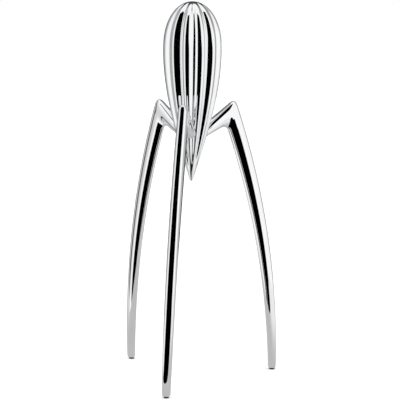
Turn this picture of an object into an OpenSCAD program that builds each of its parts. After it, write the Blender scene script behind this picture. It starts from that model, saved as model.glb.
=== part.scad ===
// Three-legged citrus press: a fluted teardrop head on three arched legs.
// The origin is on the head's axis, on the table. +Z is up and the front leg points towards -Y.

/* [Head] */
// Height of the whole press
total_height = 290; // [285:1:295]
// Diameter of the head over its ridges
head_d = 45.2; // [44:0.1:47]
// Height of the head's widest level
widest_height = 254; // [252:1:256]
// Height of the pointed tip
tip_height = 153; // [150:0.5:155]
// Radius of the rounded point
tip_r = 1.2; // [0.6:0.1:1.4]
// Number of flutes round the head
flute_count = 12; // [9:3:15]
// Depth of a flute at the widest level
flute_depth = 2.5; // [1.5:0.1:2.6]
// How much broader the ridges are than the valleys, where 0 is the same
flute_pinch = 0.11; // [0:0.01:0.15]

/* [Legs] */
// Distance of each foot from the head's axis
foot_circle_r = 67.6; // [66:0.1:70]
// Radius of the arc that each leg follows
leg_arc_r = 604; // [580:1:640]
// Depth of a leg below its knee, seen from the side
knee_depth = 13.6; // [12.5:0.1:14]
// Depth of a leg at its foot, seen from the side
foot_depth = 6.2; // [5.8:0.1:7]
// Width of a leg below its knee, seen from the front
knee_width = 8.4; // [8:0.1:9.5]
// Width of a leg at its foot, seen from the front
foot_width = 6.2; // [5.8:0.1:7]
// Turn of each foot round the head's axis, from the line of its arm
foot_turn = 3.3; // [0:0.1:5]

/* [Arms] */
// Height where the knee's outer rounding meets the leg
knee_top = 209; // [206:0.5:211]
// Height where the knee's inner rounding meets the leg
knee_bottom = 193; // [191:0.5:195]
// Width of an arm where it enters the head
root_width = 10.8; // [9:0.1:11.5]
// Rounding of the knee's corners
knee_rounding = 5; // [3:0.1:6]

/* [Joining pins] */
// Diameter of a joining pin
pin_d = 4; // [3:0.1:4.5]
// Length of a joining pin in the head
pin_in_head = 6; // [4:0.5:6]
// Length of a joining pin in the arm
pin_in_arm = 12; // [8:0.5:14]

/* [Feet] */
// Diameter of a foot pad
pad_d = 4; // [3.4:0.1:5]
// Height of a foot pad
pad_h = 1.1; // [0.8:0.1:1.5]
// Diameter of the peg on a foot pad
peg_d = 2.4; // [2:0.1:3]
// Length of the peg on a foot pad
peg_length = 7; // [5:0.5:9]

/* [Hidden] */
// Facets of round pins, pegs and bores
$fn = 48;
// Turns from the front leg to the right and the left one
right_turn = 120;
left_turn = 240;

// Head: half its diameter, its flutes' relative depth and the steps of its surface
head_r = head_d / 2;
flute_ratio = flute_depth / head_r;
// Heights above the tip where the flutes begin and where they reach their full depth
flute_low = 8;
flute_full = 24;
steps_per_flute = 8;
head_points = flute_count * steps_per_flute;
crown_steps = 12;
body_steps = 20;
tip_steps = 3;
// A higher number makes the crown blunter
crown_power = 1.12;
// A lower number makes the body slimmer just below its widest level
body_power = 0.93;

// Legs: the steps of their surface
ring_points = 24;
arm_steps = 5;
knee_steps = 5;
leg_steps = 26;
end_steps = 4;
// How fast a leg's depth and width grow above its foot
depth_bow = 0.3;
width_power = 4;
// Bluntness of a section's outer and inner half, where 2 is an ellipse, at the arm's root and on the leg
root_bluntness = [1.8, 2.6];
leg_bluntness = [2.7, 1.5];
// Share of a section's depth that its outer half takes
outer_share = 0.57;
// Share of the section's change from the root to the leg that lies in the arm, before the knee
arm_share = 0.78;
// Height of the rounded end of a leg, and its flat bottom as a share of the leg
end_round_h = 3;
end_flat_share = 0.66;
// How fast the leg's sections turn square to it below the slanting knee
skew_power = 4;

// Recess in the head for an arm's root: its floor is flat and leans with the head's side.
// The root's place and length are seen from the side, and root_gap is the free space round it.
root_radius = 9.9;
root_height = 191.8;
root_length = 12.8;
root_lean = 16.7;
root_gap = 0.06;
// Length of the recess as a share of the arm, so that it runs out of the head's side
recess_share = 0.4;
// Direction of an arm and its pin, above the horizontal
arm_rise = 29.4;
// Free space at the end of a blind hole
hole_spare = 0.5;
pin_chamfer = 0.5;
pad_chamfer = 0.3;

// ---------- shared functions ----------

// Point between a and b
function between(a, b, share) = a + (b - a) * share;

// Curve from a to b with its corner at c
function rounded(a, c, b, share) = between(between(a, c, share), between(c, b, share), share);

// Unit vector along v
function unit(v) = v / norm(v);

// Faces that join rings of equal length and close both ends
function ring_faces(rings, points) = concat(
    [[for (i = [0 : points - 1]) i]],
    [for (r = [0 : rings - 2], i = [0 : points - 1]) each
        let (a = r * points + i, b = r * points + (i + 1) % points)
        [[a, a + points, b], [b, a + points, b + points]]],
    [[for (i = [points - 1 : -1 : 0]) (rings - 1) * points + i]]);

// Closed solid through a list of rings
module ring_solid(rings) {
    polyhedron(
        points = [for (ring = rings) each ring],
        faces = ring_faces(len(rings), len(rings[0])),
        convexity = 8);
}

// ---------- head ----------

// Radius over the ridges and height, from the rounded point up to the crown
crown_height = total_height - widest_height;
body_height = widest_height - tip_height - tip_r;
crown_end = 88;
head_outline = concat(
    [for (i = [0 : tip_steps - 1]) let (a = 90 * (i + 0.5) / tip_steps)
        [tip_r * sin(a), tip_height + tip_r * (1 - cos(a))]],
    [for (i = [0 : body_steps - 1]) let (u = 1 - i / body_steps)
        [head_r * cos(90 * pow(u, body_power)) + tip_r * u, widest_height - body_height * u]],
    [for (i = [0 : crown_steps]) let (a = crown_end * i / crown_steps)
        [head_r * cos(a), widest_height + crown_height * pow(sin(a) / sin(crown_end), 1 / crown_power)]]);

// Share of the full flute depth at a height
function flute_share(z) = min(max((z - tip_height - flute_low) / (flute_full - flute_low), 0), 1);

// Share of the full radius at an angle from the front
function flute(angle, z) = let (t = flute_count * angle)
    1 - flute_ratio * flute_share(z) * ((1 - cos(t)) / 2 - flute_pinch * (1 - cos(2 * t)) / 2);

function head_ring(radius, z) = [for (i = [0 : head_points - 1])
    let (a = 360 * i / head_points, r = radius * flute(a, z)) [r * sin(a), -r * cos(a), z]];

module head_body() {
    ring_solid([for (p = head_outline) head_ring(p[0], p[1])]);
}

// ---------- legs ----------

// Outlines of a leg lie in its own upright plane, as [distance from the axis, height]
function arc_point(z) = [foot_circle_r - leg_arc_r + sqrt(leg_arc_r * leg_arc_r - z * z), z];
function arc_lean(z) = asin(z / leg_arc_r);
function leg_depth(z) = let (t = z / knee_top)
    foot_depth + (knee_depth - foot_depth) * t * (1 + depth_bow * (1 - t));
function leg_width(z) = let (t = min(z / knee_top, 1))
    foot_width + (knee_width - foot_width) * (1 - pow(1 - t, width_power));

// Point on the outer (side 1) or inner (side -1) edge of a leg, level with z on its arc
function edge_point(z, side) = arc_point(z) + side * leg_depth(z) / 2 * [cos(arc_lean(z)), sin(arc_lean(z))];
function edge_upward(z) = [-sin(arc_lean(z)), cos(arc_lean(z))];

// Root of the arm, on the floor of its recess
root_half = root_length / 2 * [sin(root_lean), cos(root_lean)];
root_centre = [root_radius, root_height];
root_top = root_centre + root_half;
root_bottom = root_centre - root_half;

// Knee corners: where the rounding ends on the leg, the sharp corner, where it starts on the arm
outer_end = edge_point(knee_top, 1);
outer_corner = outer_end + edge_upward(knee_top) * knee_rounding;
outer_start = outer_corner + unit(root_top - outer_corner) * knee_rounding;
inner_end = edge_point(knee_bottom, -1);
inner_corner = inner_end + edge_upward(knee_bottom) * knee_rounding;
inner_start = inner_corner + unit(root_bottom - inner_corner) * knee_rounding;

// Ring between an outer and an inner point, turned round the head's axis. Its halves differ in bluntness.
function oval(outer, inner, width, turn, bluntness) = let (widest = between(outer, inner, outer_share))
    [for (i = [0 : ring_points - 1])
        let (a = 360 * i / ring_points,
            end = cos(a) > 0 ? outer : inner,
            power = 2 / (cos(a) > 0 ? bluntness[0] : bluntness[1]),
            p = widest + (end - widest) * pow(abs(cos(a)), power),
            side = -width / 2 * sign(sin(a)) * pow(abs(sin(a)), power))
        [side * cos(turn) + p[0] * sin(turn), side * sin(turn) - p[0] * cos(turn), p[1]]];

function leg_turn(z) = -foot_turn * (1 - min(z / knee_bottom, 1));

// Ring of the arm or the knee, made larger by extra. Its section changes from the root's to the leg's.
function upper_oval(outer, inner, change, extra) =
    let (grow = unit(outer - inner) * extra,
        width = between(root_width, knee_width, change) + 2 * extra)
    oval(outer + grow, inner - grow, width, 0, between(root_bluntness, leg_bluntness, change));

function arm_ring(share, extra) = upper_oval(
    between(root_top, outer_start, share),
    between(root_bottom, inner_start, share), arm_share * share, extra);

function knee_ring(share) = upper_oval(
    rounded(outer_start, outer_corner, outer_end, share),
    rounded(inner_start, inner_corner, inner_end, share), between(arm_share, 1, share), 0);

// A ring of the leg, with share 0 at the knee and 1 at the top of the rounded end
end_top = pad_h + end_round_h;
function leg_ring(share) =
    let (middle = (knee_top + knee_bottom) / 2,
        skew = (knee_top - knee_bottom) / 2 * pow(1 - share, skew_power),
        z = between(middle, end_top, share))
    oval(edge_point(z + skew, 1), edge_point(z - skew, -1), leg_width(z), leg_turn(z), leg_bluntness);

// A ring of the rounded end, with share 0 at its top and 1 at the flat bottom
function end_ring(share) =
    let (z = end_top - end_round_h * share,
        scale = between(1, end_flat_share, 1 - sqrt(1 - share * share)),
        middle = arc_point(z),
        half = [leg_depth(end_top) / 2 * scale, 0])
    oval(middle + half, middle - half, leg_width(end_top) * scale, leg_turn(z), leg_bluntness);

leg_rings = concat(
    [for (i = [0 : arm_steps]) arm_ring(i / arm_steps, 0)],
    [for (i = [1 : knee_steps]) knee_ring(i / knee_steps)],
    [for (i = [1 : leg_steps]) leg_ring(i / leg_steps)],
    [for (i = [1 : end_steps]) end_ring(i / end_steps)]);

// Moves its children onto the arm's line, where z = 0 is the floor of the recess
module on_arm_line() {
    translate([0, -root_radius, root_height]) rotate([90 - arm_rise, 0, 0]) children();
}

// Moves its children to the foot
module at_foot() {
    rotate([0, 0, -foot_turn]) translate([0, -foot_circle_r, 0]) children();
}

module pin_hole() {
    on_arm_line() translate([0, 0, -pin_in_head - hole_spare])
        cylinder(d = pin_d, h = pin_in_head + pin_in_arm + 2 * hole_spare);
}

module peg_hole() {
    at_foot() cylinder(d = peg_d, h = pad_h + peg_length + hole_spare);
}

module leg(turn) {
    color("silver") rotate([0, 0, turn]) difference() {
        ring_solid(leg_rings);
        pin_hole();
        peg_hole();
    }
}

module arm_recess() {
    ring_solid([arm_ring(0, root_gap), arm_ring(recess_share, root_gap)]);
}

module head() {
    color("silver") difference() {
        head_body();
        for (turn = [0, right_turn, left_turn]) rotate([0, 0, turn]) {
            arm_recess();
            pin_hole();
        }
    }
}

// ---------- joining pins and feet ----------

module pin(turn) {
    length = pin_in_head + pin_in_arm;
    r = pin_d / 2;
    color("dimgray") rotate([0, 0, turn]) on_arm_line() translate([0, 0, -pin_in_head])
        rotate_extrude() polygon([[0, 0], [r - pin_chamfer, 0], [r, pin_chamfer],
            [r, length - pin_chamfer], [r - pin_chamfer, length], [0, length]]);
}

module foot(turn) {
    r = pad_d / 2;
    peg_top = pad_h + peg_length;
    peg_r = peg_d / 2;
    color([0.08, 0.08, 0.08]) rotate([0, 0, turn]) at_foot()
        rotate_extrude() polygon([[0, 0], [r - pad_chamfer, 0], [r, pad_chamfer], [r, pad_h],
            [peg_r, pad_h], [peg_r, peg_top - pad_chamfer], [peg_r - pad_chamfer, peg_top], [0, peg_top]]);
}

head();
leg(0);  // leg_front
leg(right_turn);  // leg_right
leg(left_turn);  // leg_left
pin(0);  // pin_front
pin(right_turn);  // pin_right
pin(left_turn);  // pin_left
foot(0);  // foot_front
foot(right_turn);  // foot_right
foot(left_turn);  // foot_left
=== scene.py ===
import math

import bpy
import numpy as np
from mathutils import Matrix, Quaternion, Vector


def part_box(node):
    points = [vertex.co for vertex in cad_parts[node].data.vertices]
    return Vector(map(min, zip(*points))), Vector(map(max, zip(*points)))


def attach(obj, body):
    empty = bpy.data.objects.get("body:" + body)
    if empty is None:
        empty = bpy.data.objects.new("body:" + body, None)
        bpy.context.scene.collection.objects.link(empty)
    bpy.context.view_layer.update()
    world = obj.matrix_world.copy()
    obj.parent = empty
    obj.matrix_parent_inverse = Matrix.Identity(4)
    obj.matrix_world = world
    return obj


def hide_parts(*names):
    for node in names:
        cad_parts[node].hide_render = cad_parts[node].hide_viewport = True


# Three-legged citrus press in mirror-polished cast aluminium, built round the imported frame.
# The head and the legs are smooth surfaces that follow the CAD's own formulas. Lengths are in metres.

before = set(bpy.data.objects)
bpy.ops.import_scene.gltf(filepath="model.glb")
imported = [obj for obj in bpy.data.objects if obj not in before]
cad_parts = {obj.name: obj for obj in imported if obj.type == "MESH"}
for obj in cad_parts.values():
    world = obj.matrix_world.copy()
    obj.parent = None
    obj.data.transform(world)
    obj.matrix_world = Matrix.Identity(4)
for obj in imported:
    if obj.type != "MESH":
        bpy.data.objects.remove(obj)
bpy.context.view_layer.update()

MM = 0.001
UP = Vector((0, 0, 1))

# ---------- sizes ----------

head_low, head_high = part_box("head")
TOTAL_HEIGHT = head_high.z
TIP_HEIGHT = head_low.z
HEAD_R = head_high.x
WIDEST_HEIGHT = 254 * MM
TIP_R = 1.2 * MM
FLUTES = 12
STEPS_PER_FLUTE = 24
FLUTE_DEPTH = 2.5 * MM
# How much broader the ridges are than the valleys
FLUTE_PINCH = 0.11
# Heights above the tip where the flutes begin and where they reach their full depth
FLUTE_LOW = 8 * MM
FLUTE_FULL = 24 * MM
# A higher number makes the crown blunter
CROWN_POWER = 1.12
# Angle up the crown where it is level, short of a right angle so that its top isn't pointed
CROWN_END = math.radians(88)
# A lower number makes the body slimmer just below its widest level
BODY_POWER = 0.93

pad_low, pad_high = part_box("foot_front")
pad_centre = (pad_low + pad_high) / 2
FOOT_CIRCLE_R = math.hypot(pad_centre.x, pad_centre.y)
FOOT_TURN = math.atan2(-pad_centre.x, -pad_centre.y)
PAD_R = (pad_high.x - pad_low.x) / 2
PAD_H = 1.1 * MM
PEG_R = 1.2 * MM
PEG_LENGTH = pad_high.z - PAD_H
PAD_EDGE_R = 0.35 * MM
PAD_TOP_CHAMFER = 0.1 * MM
PEG_CHAMFER = 0.3 * MM
LEG_ARC_R = 604 * MM
KNEE_DEPTH = 13.6 * MM
FOOT_DEPTH = 6.2 * MM
KNEE_WIDTH = 8.4 * MM
FOOT_WIDTH = 6.2 * MM
# How fast a leg's depth and width grow above its foot
DEPTH_BOW = 0.3
WIDTH_POWER = 4
KNEE_TOP = 209 * MM
KNEE_BOTTOM = 193 * MM
KNEE_ROUNDING = 5 * MM
# How fast the leg's sections turn square to it below the slanting knee
SKEW_POWER = 4
# Height of the rounded end of a leg, and its flat bottom as a share of the leg
END_ROUND_H = 3 * MM
END_FLAT_SHARE = 0.66
# Bluntness of a section's outer and inner half, where 2 is an ellipse
ROOT_BLUNTNESS = np.array([1.8, 2.6])
LEG_BLUNTNESS = np.array([2.7, 1.5])
# Share of a section's depth that its outer half takes
OUTER_SHARE = 0.57

ROOT_WIDTH = 10.8 * MM
ROOT_CENTRE = np.array([9.9, 191.8]) * MM
ROOT_HALF = 6.4 * MM
ROOT_LEAN = math.radians(16.7)
# Share of the section's change from the root to the leg that lies in the arm, before the knee
ARM_SHARE = 0.78

LEG_TURNS = {"front": 0, "right": 120, "left": 240}

# ---------- mesh helpers ----------


def new_piece(name, points, faces, material):
    mesh = bpy.data.meshes.new(name)
    mesh.from_pydata([tuple(p) for p in points], [], faces)
    mesh.polygons.foreach_set("use_smooth", [True] * len(mesh.polygons))
    mesh.materials.append(material)
    mesh.update()
    piece = bpy.data.objects.new(name, mesh)
    bpy.context.scene.collection.objects.link(piece)
    return piece


def loft(rings, start, end):
    """Points and faces of a closed surface through rings of equal length, with a point at each end."""
    count = len(rings[0])
    points = [start] + [p for ring in rings for p in ring] + [end]
    last = len(points) - 1
    faces = []
    for i in range(count):
        j = (i + 1) % count
        faces.append((0, 1 + j, 1 + i))
        for r in range(len(rings) - 1):
            a = 1 + r * count
            faces.append((a + i, a + j, a + count + j, a + count + i))
        a = last - count
        faces.append((last, a + i, a + j))
    return points, faces


def between(a, b, share):
    return a + (b - a) * share


def unit(v):
    return v / np.linalg.norm(v)


# ---------- head ----------


def head_profile():
    """Radius over the ridges and height, from the rounded point up to the crown."""
    profile = []
    tip_steps, body_steps, crown_steps = 10, 150, 90
    for i in range(1, tip_steps):
        a = math.pi / 2 * i / tip_steps
        profile.append((TIP_R * math.sin(a), TIP_HEIGHT + TIP_R * (1 - math.cos(a))))
    body_height = WIDEST_HEIGHT - TIP_HEIGHT - TIP_R
    for i in range(body_steps):
        u = 1 - i / body_steps
        r = HEAD_R * math.cos(math.pi / 2 * u ** BODY_POWER) + TIP_R * u
        profile.append((r, WIDEST_HEIGHT - body_height * u))
    crown_height = TOTAL_HEIGHT - WIDEST_HEIGHT
    for i in range(crown_steps):
        a = math.pi / 2 * i / crown_steps
        rise = min(1, math.sin(a) / math.sin(CROWN_END)) ** (1 / CROWN_POWER)
        profile.append((HEAD_R * math.cos(a), WIDEST_HEIGHT + crown_height * rise))
    return profile


def flute(angle, z):
    """Share of the full radius at an angle from the front: broad ridges and narrower valleys, which fade
    out above the tip."""
    t = FLUTES * angle
    dip = (1 - math.cos(t)) / 2 - FLUTE_PINCH * (1 - math.cos(2 * t)) / 2
    share = min(max((z - TIP_HEIGHT - FLUTE_LOW) / (FLUTE_FULL - FLUTE_LOW), 0), 1)
    return 1 - FLUTE_DEPTH / HEAD_R * share * dip


def make_head(material):
    count = FLUTES * STEPS_PER_FLUTE
    turns = [2 * math.pi * i / count for i in range(count)]
    rings = [[(r * flute(a, z) * math.sin(a), -r * flute(a, z) * math.cos(a), z) for a in turns]
             for r, z in head_profile()]
    points, faces = loft(rings, (0, 0, TIP_HEIGHT), (0, 0, TOTAL_HEIGHT))
    head = new_piece("cast_head", points, faces, material)
    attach(head, "root")
    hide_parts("head")


# ---------- legs ----------


def arc_point(z):
    return np.array([FOOT_CIRCLE_R - LEG_ARC_R + math.sqrt(LEG_ARC_R ** 2 - z * z), z])


def arc_lean(z):
    return math.asin(z / LEG_ARC_R)


def leg_depth(z):
    t = z / KNEE_TOP
    return FOOT_DEPTH + (KNEE_DEPTH - FOOT_DEPTH) * t * (1 + DEPTH_BOW * (1 - t))


def leg_width(z):
    return FOOT_WIDTH + (KNEE_WIDTH - FOOT_WIDTH) * (1 - (1 - min(z / KNEE_TOP, 1)) ** WIDTH_POWER)


def edge_point(z, side):
    lean = arc_lean(z)
    return arc_point(z) + side * leg_depth(z) / 2 * np.array([math.cos(lean), math.sin(lean)])


def edge_upward(z):
    lean = arc_lean(z)
    return np.array([-math.sin(lean), math.cos(lean)])


def rounded(a, c, b, share):
    return between(between(a, c, share), between(c, b, share), share)


ROOT_TOP = ROOT_CENTRE + ROOT_HALF * np.array([math.sin(ROOT_LEAN), math.cos(ROOT_LEAN)])
ROOT_BOTTOM = ROOT_CENTRE - ROOT_HALF * np.array([math.sin(ROOT_LEAN), math.cos(ROOT_LEAN)])
OUTER_END = edge_point(KNEE_TOP, 1)
OUTER_CORNER = OUTER_END + edge_upward(KNEE_TOP) * KNEE_ROUNDING
OUTER_START = OUTER_CORNER + unit(ROOT_TOP - OUTER_CORNER) * KNEE_ROUNDING
INNER_END = edge_point(KNEE_BOTTOM, -1)
INNER_CORNER = INNER_END + edge_upward(KNEE_BOTTOM) * KNEE_ROUNDING
INNER_START = INNER_CORNER + unit(ROOT_BOTTOM - INNER_CORNER) * KNEE_ROUNDING
RING_POINTS = 72


def oval(outer, inner, width, turn, bluntness=LEG_BLUNTNESS):
    """Ring between an outer and an inner point of the leg's plane, turned round the head's axis.
    Its two halves have their own bluntness, and it is widest a little nearer the inner point."""
    widest = between(outer, inner, OUTER_SHARE)
    ring = []
    for i in range(RING_POINTS):
        a = 2 * math.pi * i / RING_POINTS
        end, power = (outer, 2 / bluntness[0]) if math.cos(a) > 0 else (inner, 2 / bluntness[1])
        out, z = widest + (end - widest) * abs(math.cos(a)) ** power
        side = -width / 2 * math.copysign(abs(math.sin(a)) ** power, math.sin(a))
        ring.append((side * math.cos(turn) + out * math.sin(turn),
                     side * math.sin(turn) - out * math.cos(turn), z))
    return ring


def leg_turn(z):
    return -FOOT_TURN * (1 - min(z / KNEE_BOTTOM, 1))


def upper_oval(outer, inner, change):
    """Ring of the arm or the knee, whose section changes from the root to the leg."""
    width = between(ROOT_WIDTH, KNEE_WIDTH, change)
    return oval(outer, inner, width, 0, between(ROOT_BLUNTNESS, LEG_BLUNTNESS, change))


def arm_ring(share):
    return upper_oval(between(ROOT_TOP, OUTER_START, share), between(ROOT_BOTTOM, INNER_START, share),
                      ARM_SHARE * share)


def knee_ring(share):
    return upper_oval(rounded(OUTER_START, OUTER_CORNER, OUTER_END, share),
                      rounded(INNER_START, INNER_CORNER, INNER_END, share), between(ARM_SHARE, 1, share))


END_TOP = PAD_H + END_ROUND_H


def leg_ring(share):
    skew = (KNEE_TOP - KNEE_BOTTOM) / 2 * (1 - share) ** SKEW_POWER
    z = between((KNEE_TOP + KNEE_BOTTOM) / 2, END_TOP, share)
    return oval(edge_point(z + skew, 1), edge_point(z - skew, -1), leg_width(z), leg_turn(z))


def end_ring(share):
    z = END_TOP - END_ROUND_H * share
    scale = between(1, END_FLAT_SHARE, 1 - math.sqrt(1 - share * share))
    half = np.array([leg_depth(END_TOP) / 2 * scale, 0])
    return oval(arc_point(z) + half, arc_point(z) - half, leg_width(END_TOP) * scale, leg_turn(z))


def centre(ring):
    return tuple(np.mean(np.array(ring), axis=0))


def make_leg(place, material):
    arm_steps, knee_steps, leg_steps, end_steps = 30, 30, 180, 14
    rings = [arm_ring(i / arm_steps) for i in range(arm_steps + 1)]
    rings += [knee_ring(i / knee_steps) for i in range(1, knee_steps + 1)]
    rings += [leg_ring(i / leg_steps) for i in range(1, leg_steps + 1)]
    rings += [end_ring(i / end_steps) for i in range(1, end_steps + 1)]
    points, faces = loft(rings, centre(rings[0]), centre(rings[-1]))
    turn = Quaternion(UP, math.radians(LEG_TURNS[place]))
    leg = new_piece(f"cast_leg_{place}", [turn @ Vector(p) for p in points], faces, material)
    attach(leg, "root")
    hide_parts(f"leg_{place}")


# ---------- feet ----------


def make_pad(place, material):
    """Round pad with a rounded lower edge, and its peg in one piece with it."""
    steps, count = 6, 48
    profile = []
    for i in range(steps + 1):
        a = math.pi / 2 * i / steps
        r = PAD_R - PAD_EDGE_R + PAD_EDGE_R * math.sin(a)
        profile.append((r, PAD_EDGE_R - PAD_EDGE_R * math.cos(a)))
    peg_top = PAD_H + PEG_LENGTH
    profile += [(PAD_R, PAD_H - PAD_TOP_CHAMFER), (PAD_R - PAD_TOP_CHAMFER, PAD_H), (PEG_R, PAD_H)]
    profile += [(PEG_R, peg_top - PEG_CHAMFER), (PEG_R - PEG_CHAMFER, peg_top)]
    turns = [2 * math.pi * i / count for i in range(count)]
    x, y = pad_centre.x, pad_centre.y
    rings = [[(x + r * math.sin(a), y - r * math.cos(a), z) for a in turns] for r, z in profile]
    points, faces = loft(rings, (x, y, 0), (x, y, peg_top))
    turn = Quaternion(UP, math.radians(LEG_TURNS[place]))
    pad = new_piece(f"foot_pad_{place}", [turn @ Vector(p) for p in points], faces, material)
    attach(pad, "root")
    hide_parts(f"foot_{place}")


# ---------- materials ----------


class Nodes:
    """Short ways to add nodes to a tree. An input is a number or another node's output."""

    def __init__(self, tree):
        self.tree = tree

    def put(self, socket, value):
        if isinstance(value, bpy.types.NodeSocket):
            self.tree.links.new(value, socket)
        else:
            socket.default_value = value

    def scaled(self, vector, scales):
        node = self.tree.nodes.new("ShaderNodeVectorMath")
        node.operation = "MULTIPLY"
        self.put(node.inputs[0], vector)
        self.put(node.inputs[1], scales)
        return node.outputs[0]

    def place(self, spacing=1, stretch=(1, 1, 1)):
        """Place on the object in steps of spacing metres, and of stretch times that along X, Y and Z."""
        coordinates = self.tree.nodes.new("ShaderNodeTexCoord").outputs["Object"]
        return self.scaled(coordinates, [1 / (spacing * s) for s in stretch])

    def noise(self, place, detail=2):
        """Smooth random value, mostly between 0.3 and 0.7, with its bumps about one step apart."""
        node = self.tree.nodes.new("ShaderNodeTexNoise")
        self.put(node.inputs["Vector"], place)
        self.put(node.inputs["Scale"], 1)
        self.put(node.inputs["Detail"], detail)
        return node.outputs[0]

    def math(self, operation, *values):
        node = self.tree.nodes.new("ShaderNodeMath")
        node.operation = operation
        for socket, value in zip(node.inputs, values):
            self.put(socket, value)
        return node.outputs[0]

    def dot(self, vector, direction):
        node = self.tree.nodes.new("ShaderNodeVectorMath")
        node.operation = "DOT_PRODUCT"
        self.put(node.inputs[0], vector)
        self.put(node.inputs[1], direction)
        return node.outputs["Value"]

    def length(self, vector):
        node = self.tree.nodes.new("ShaderNodeVectorMath")
        node.operation = "LENGTH"
        self.put(node.inputs[0], vector)
        return node.outputs["Value"]

    def step(self, value, start, end):
        """0 before start and 1 after end, with a smooth change between them."""
        node = self.tree.nodes.new("ShaderNodeMapRange")
        node.interpolation_type = "SMOOTHSTEP"
        for name, number in [("Value", value), ("From Min", start), ("From Max", end)]:
            self.put(node.inputs[name], number)
        return node.outputs[0]

    def band(self, value, start, end, soft):
        """1 from start to end and 0 outside them, with edges soft degrees wide."""
        rise = self.step(self.math("SUBTRACT", value, start), -soft / 2, soft / 2)
        fall = self.step(self.math("SUBTRACT", value, end), soft / 2, -soft / 2)
        return self.math("MULTIPLY", rise, fall)

    def mix(self, share, a, b):
        """a where share is 0, b where it is 1."""
        return self.math("ADD", self.math("MULTIPLY", a, self.math("SUBTRACT", 1, share)),
                         self.math("MULTIPLY", b, share))

    def total(self, *terms):
        """Sum of the terms, where a term is (value, factor)."""
        total = 0
        for value, factor in terms:
            total = self.math("MULTIPLY_ADD", value, factor, total)
        return total

    def colour(self, share, low, high):
        """Colour from low at 0.3 to high at 0.7, which is the reach of the noise."""
        node = self.tree.nodes.new("ShaderNodeValToRGB")
        for element, position, colour in zip(node.color_ramp.elements, (0.3, 0.7), (low, high)):
            element.position = position
            element.color = (*colour, 1)
        self.put(node.inputs[0], share)
        return node.outputs[0]

    def bump(self, height):
        """Normal of a surface with this height in metres."""
        node = self.tree.nodes.new("ShaderNodeBump")
        self.put(node.inputs["Distance"], 1)
        self.put(node.inputs["Height"], height)
        return node.outputs[0]


# Distance between the bumps of each layer of a material, and the height of the bumps
WAVE_SPACING, WAVE_HEIGHT = 14 * MM, 0.02 * MM
RIPPLE_SPACING, RIPPLE_HEIGHT = 4 * MM, 0.001 * MM
POLISH_LINE_SPACING, POLISH_LINE_HEIGHT = 0.35 * MM, 0.00002 * MM
SMUDGE_SPACING = 22 * MM
METAL_TONE_SPACING = 30 * MM
GRAIN_SPACING, GRAIN_HEIGHT = 0.12 * MM, 0.01 * MM
PLASTIC_PATCH_SPACING = 1.5 * MM
SCUFF_TOP = 0.5 * MM
GRINDING_SPACING, GRINDING_HEIGHT = 0.15 * MM, 0.002 * MM
STAIN_SPACING = 3 * MM
# Distances from the head's axis where the joint's dullness is full and where it ends
DULL_JOINT_R, BRIGHT_ARM_R = 9 * MM, 15 * MM


def new_material(name):
    material = bpy.data.materials.new(name)
    material.use_nodes = True
    tree = material.node_tree
    shader = tree.nodes["Principled BSDF"]
    return material, tree, shader


def polished_aluminium(name, dullness):
    """Hand-polished casting: long soft waves in its gloss, fine lines along its length, faint smudges and
    a slightly uneven tone. Dullness adds the roughness that the polishing left where it hardly reached."""
    material, tree, shader = new_material(name)
    nodes = Nodes(tree)
    waves = nodes.noise(nodes.place(WAVE_SPACING), 1)
    ripples = nodes.noise(nodes.place(RIPPLE_SPACING, (1, 1, 3)))
    lines = nodes.noise(nodes.place(POLISH_LINE_SPACING, (1, 1, 30)), 3)
    smudges = nodes.step(nodes.noise(nodes.place(SMUDGE_SPACING, (1, 1, 1.6)), 4), 0.5, 0.7)
    tone = nodes.total((nodes.noise(nodes.place(METAL_TONE_SPACING), 3), 0.8), (lines, 0.2))
    shader.inputs["Metallic"].default_value = 1
    nodes.put(shader.inputs["Base Color"], nodes.colour(tone, (0.9, 0.905, 0.92), (0.95, 0.955, 0.96)))
    gloss = nodes.total((lines, 0.04), (smudges, 0.03), (dullness(nodes), 0.06))
    nodes.put(shader.inputs["Roughness"], nodes.math("ADD", gloss, 0.005))
    height = nodes.total((waves, WAVE_HEIGHT), (ripples, RIPPLE_HEIGHT), (lines, POLISH_LINE_HEIGHT))
    nodes.put(shader.inputs["Normal"], nodes.bump(height))
    return material


def dull_valleys(nodes):
    """1 on the floors of the head's flutes and 0 on its ridges."""
    place = nodes.place()
    angle = nodes.math("ARCTAN2", nodes.dot(place, (1, 0, 0)), nodes.dot(place, (0, -1, 0)))
    return nodes.step(nodes.math("COSINE", nodes.math("MULTIPLY", angle, FLUTES)), -0.4, -1)


def dull_joint(nodes):
    """1 where a leg's arm enters the head, fading out along the arm."""
    off_axis = nodes.length(nodes.scaled(nodes.place(), (1, 1, 0)))
    return nodes.step(off_axis, BRIGHT_ARM_R, DULL_JOINT_R)


def black_plastic():
    """Moulded pad with a fine sparked grain, scuffed a little greyer towards the table."""
    material, tree, shader = new_material("moulded_black_plastic")
    nodes = Nodes(tree)
    grain = nodes.noise(nodes.place(GRAIN_SPACING), 3)
    patches = nodes.noise(nodes.place(PLASTIC_PATCH_SPACING))
    scuffed = nodes.step(nodes.dot(nodes.place(), UP), SCUFF_TOP, 0)
    tone = nodes.total((patches, 0.7), (grain, 0.3), (scuffed, 0.3))
    nodes.put(shader.inputs["Base Color"], nodes.colour(tone, (0.004, 0.004, 0.004), (0.012, 0.012, 0.012)))
    roughness = nodes.total((grain, 0.3), (patches, 0.2), (scuffed, 0.1), (0.35, 1))
    nodes.put(shader.inputs["Roughness"], roughness)
    nodes.put(shader.inputs["Normal"], nodes.bump(nodes.total((grain, GRAIN_HEIGHT))))
    shader.inputs["Specular IOR Level"].default_value = 0.25
    return material


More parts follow.
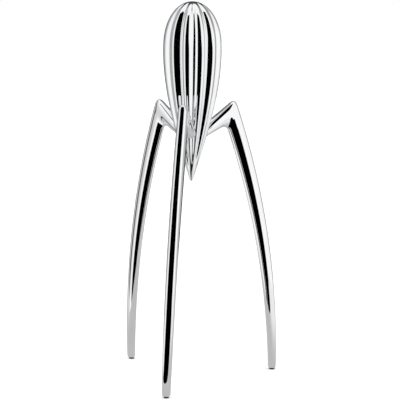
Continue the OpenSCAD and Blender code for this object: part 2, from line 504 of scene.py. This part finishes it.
def ground_steel():
    """Plain ground pin, with fine grinding marks round it and a few darker stains."""
    material, tree, shader = new_material("ground_steel")
    nodes = Nodes(tree)
    marks = nodes.noise(nodes.place(GRINDING_SPACING, (20, 20, 1)), 3)
    stains = nodes.noise(nodes.place(STAIN_SPACING), 3)
    tone = nodes.total((marks, 0.4), (stains, 0.6))
    shader.inputs["Metallic"].default_value = 1
    nodes.put(shader.inputs["Base Color"], nodes.colour(tone, (0.46, 0.46, 0.47), (0.6, 0.6, 0.61)))
    nodes.put(shader.inputs["Roughness"], nodes.total((marks, 0.3), (stains, 0.15), (0.1, 1)))
    nodes.put(shader.inputs["Normal"], nodes.bump(nodes.total((marks, GRINDING_HEIGHT))))
    return material


# ---------- stage, light and camera ----------

CAMERA_AZIMUTH = math.radians(11.57)
TO_CAMERA = Vector((math.sin(CAMERA_AZIMUTH), -math.cos(CAMERA_AZIMUTH), 0))
TO_RIGHT = Vector((math.cos(CAMERA_AZIMUTH), math.sin(CAMERA_AZIMUTH), 0))
# Left side of the dark space round the camera, as an azimuth from the camera
DARK_LEFT = math.radians(-47)
# How far the table's edge is in front of the axis, and how much farther for each metre to the right
TABLE_EDGE = 0.128
TABLE_SLANT = 0.68
STAGE_R = 9
REFLECTED_FLOOR_HALF = 2.5


def make_camera():
    distance, height = 1.0564, 0.290
    pitch, yaw, roll = math.radians(8.17), math.radians(0.37), math.radians(0.48)
    data = bpy.data.cameras.new("camera")
    data.sensor_width = 36
    data.lens = 124.5
    camera = bpy.data.objects.new("camera", data)
    bpy.context.scene.collection.objects.link(camera)
    level = TO_RIGHT * math.sin(yaw) - TO_CAMERA * math.cos(yaw)
    forward = level * math.cos(pitch) - UP * math.sin(pitch)
    camera.location = TO_CAMERA * distance + UP * height
    camera.rotation_mode = "QUATERNION"
    camera.rotation_quaternion = forward.to_track_quat("-Z", "Y") @ Quaternion(UP, roll)
    bpy.context.scene.camera = camera


def stage_piece(name, points, faces, material, camera, glossy, diffuse, shadow):
    piece = new_piece(name, points, faces, material)
    piece.visible_camera = camera
    piece.visible_glossy = glossy
    piece.visible_diffuse = diffuse
    piece.visible_shadow = shadow


def square(half):
    return [(-half, -half, 0), (half, -half, 0), (half, half, 0), (-half, half, 0)]


def glow(name, colour):
    material = bpy.data.materials.new(name)
    material.use_nodes = True
    tree = material.node_tree
    tree.nodes.clear()
    emission = tree.nodes.new("ShaderNodeEmission")
    emission.inputs["Color"].default_value = (*colour, 1)
    output = tree.nodes.new("ShaderNodeOutputMaterial")
    tree.links.new(emission.outputs[0], output.inputs["Surface"])
    return material


def studio_tone(nodes, azimuth, elevation):
    """Brightness of the studio in a direction, in degrees: azimuth from the camera, positive to its right.
    White sides and ceiling, a dark seam at the left and a grey one at the right, and a dark back."""
    white, left_end, left_seam, right_seam, high_right = 1.0, 0.66, 0.1, 0.5, 0.4
    low_corners, high_corners, back = 0.1, 0.36, 0.06
    high = nodes.step(elevation, 10, 25)
    off_front = nodes.math("ABSOLUTE", azimuth)
    tone = nodes.mix(nodes.step(azimuth, -55, -100), white, left_end)
    tone = nodes.mix(nodes.band(azimuth, -110, -97, 4), tone, left_seam)
    tone = nodes.mix(nodes.band(azimuth, 100, 128, 4), tone, right_seam)
    tone = nodes.mix(nodes.math("MULTIPLY", high, nodes.step(azimuth, 75, 105)), tone, high_right)
    tone = nodes.mix(nodes.step(off_front, 122, 138), tone, nodes.mix(high, low_corners, high_corners))
    tone = nodes.mix(nodes.step(off_front, 138, 158), tone, back)
    return nodes.mix(nodes.step(elevation, 52, 62), tone, white)


def dark_right(height):
    """Right side of the dark space round the camera, as an azimuth, which draws in higher up."""
    low, high, draws_in_from, draws_in_over = math.radians(41), math.radians(29), 0.19, 0.25
    return between(low, high, min(max((height - draws_in_from) / draws_in_over, 0), 1))


def painted_reflected_floor():
    """Glowing floor with the studio painted on it for reflections: a grey table round the object, with
    painted shade that keeps it darker near the object and behind it, so that it is lighter out to its
    sides, and the studio's own tones beyond it. In front of the table's edge the floor is dark under the
    camera."""
    # Tones of the reflected table: painted shade near the object and behind it, and its lit tone farther
    # out
    near, far = 0.53, 0.88
    material = glow("painted_reflected_floor", (1, 1, 1))
    tree = material.node_tree
    nodes = Nodes(tree)
    place = tree.nodes.new("ShaderNodeTexCoord").outputs["Object"]
    front = nodes.dot(place, TO_CAMERA)
    right = nodes.dot(place, TO_RIGHT)
    azimuth = nodes.math("DEGREES", nodes.math("ARCTAN2", right, front))
    distance = nodes.length(place)
    beside = nodes.step(nodes.math("ABSOLUTE", azimuth), 120, 95)
    # Painted shade: the reflected table is darker close to the object and behind it, and lighter farther
    # out in front and to the sides
    table = nodes.mix(nodes.math("MULTIPLY", beside, nodes.step(distance, 0.07, 0.28)), near, far)
    dark = nodes.band(azimuth, math.degrees(DARK_LEFT), math.degrees(dark_right(0)), 2)
    wall = nodes.mix(dark, studio_tone(nodes, azimuth, -10), 0.0)
    past_edge = nodes.total((front, 1), (right, -TABLE_SLANT), (1, -TABLE_EDGE))
    beyond = nodes.math("MAXIMUM", nodes.step(past_edge, 0, 0.003), nodes.step(distance, 0.45, 0.6))
    tree.links.new(nodes.mix(beyond, table, wall), tree.nodes["Emission"].inputs["Color"])
    return material


def make_dark_panel():
    """Painted dark space round the camera, as a tall curved black panel that only reflections see."""
    radius, top, rows, columns = 1.0, 2.2, 44, 24
    points = []
    for r in range(rows + 1):
        height = top * r / rows
        for c in range(columns + 1):
            a = between(DARK_LEFT, dark_right(height), c / columns)
            points.append(TO_CAMERA * radius * math.cos(a) + TO_RIGHT * radius * math.sin(a) + UP * height)
    faces = [(i, i + 1, i + columns + 2, i + columns + 1)
             for r in range(rows) for i in range(r * (columns + 1), r * (columns + 1) + columns)]
    # Painted dark: a black glowing panel stands in for the unlit space round the camera, seen only in
    # reflections
    stage_piece("dark_panel", points, faces, glow("painted_dark_space", (0, 0, 0)), False, True, False, False)


def make_stage():
    """A pale floor and backdrop for the camera, and a darker glowing floor with painted shade and painted
    studio tones that only reflections see.
    """
    floor_material, tree, shader = new_material("pale_floor")
    shader.inputs["Base Color"].default_value = (0.86, 0.86, 0.86, 1)
    shader.inputs["Roughness"].default_value = 1
    shader.inputs["Specular IOR Level"].default_value = 0
    stage_piece("floor", square(STAGE_R), [(0, 1, 2, 3)], floor_material, True, False, True, True)
    stage_piece("floor_in_reflections", square(REFLECTED_FLOOR_HALF), [(0, 1, 2, 3)], painted_reflected_floor(),
                False, True, False, False)
    make_dark_panel()

    steps, count = 12, 32
    turns = [2 * math.pi * i / count for i in range(count)]
    rings = []
    for i in range(1, steps):
        a = math.pi * (1 - i / steps)
        r, z = STAGE_R * math.sin(a), STAGE_R * math.cos(a)
        rings.append([(r * math.sin(b), -r * math.cos(b), z) for b in turns])
    points, faces = loft(rings, (0, 0, -STAGE_R), (0, 0, STAGE_R))
    stage_piece("backdrop", points, faces, glow("backdrop_white", (1, 1, 1)), True, False, False, False)


def make_lights():
    sun = bpy.data.lights.new("soft_overhead", "SUN")
    sun.energy = 2.3
    sun.angle = math.radians(80)
    lamp = bpy.data.objects.new("soft_overhead", sun)
    bpy.context.scene.collection.objects.link(lamp)
    lamp.visible_glossy = False


def make_world():
    world = bpy.data.worlds.new("studio")
    bpy.context.scene.world = world
    world.use_nodes = True
    tree = world.node_tree
    nodes = Nodes(tree)
    direction = tree.nodes.new("ShaderNodeTexCoord").outputs["Generated"]
    right = nodes.dot(direction, TO_RIGHT)
    front = nodes.dot(direction, TO_CAMERA)
    height = nodes.dot(direction, UP)
    azimuth = nodes.math("DEGREES", nodes.math("ARCTAN2", right, front))
    elevation = nodes.math("DEGREES", nodes.math("ARCSINE", height))
    tone = studio_tone(nodes, azimuth, elevation)
    tree.links.new(tone, tree.nodes["Background"].inputs["Color"])


# ---------- build ----------

make_camera()
plastic = black_plastic()
steel = ground_steel()
leg_metal = polished_aluminium("polished_leg", dull_joint)
make_head(polished_aluminium("polished_head", dull_valleys))
for place in LEG_TURNS:
    make_leg(place, leg_metal)
    make_pad(place, plastic)
    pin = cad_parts[f"pin_{place}"]
    pin.data.materials.clear()
    pin.data.materials.append(steel)
make_stage()
make_lights()
make_world()
bpy.context.scene.view_settings.view_transform = "Standard"
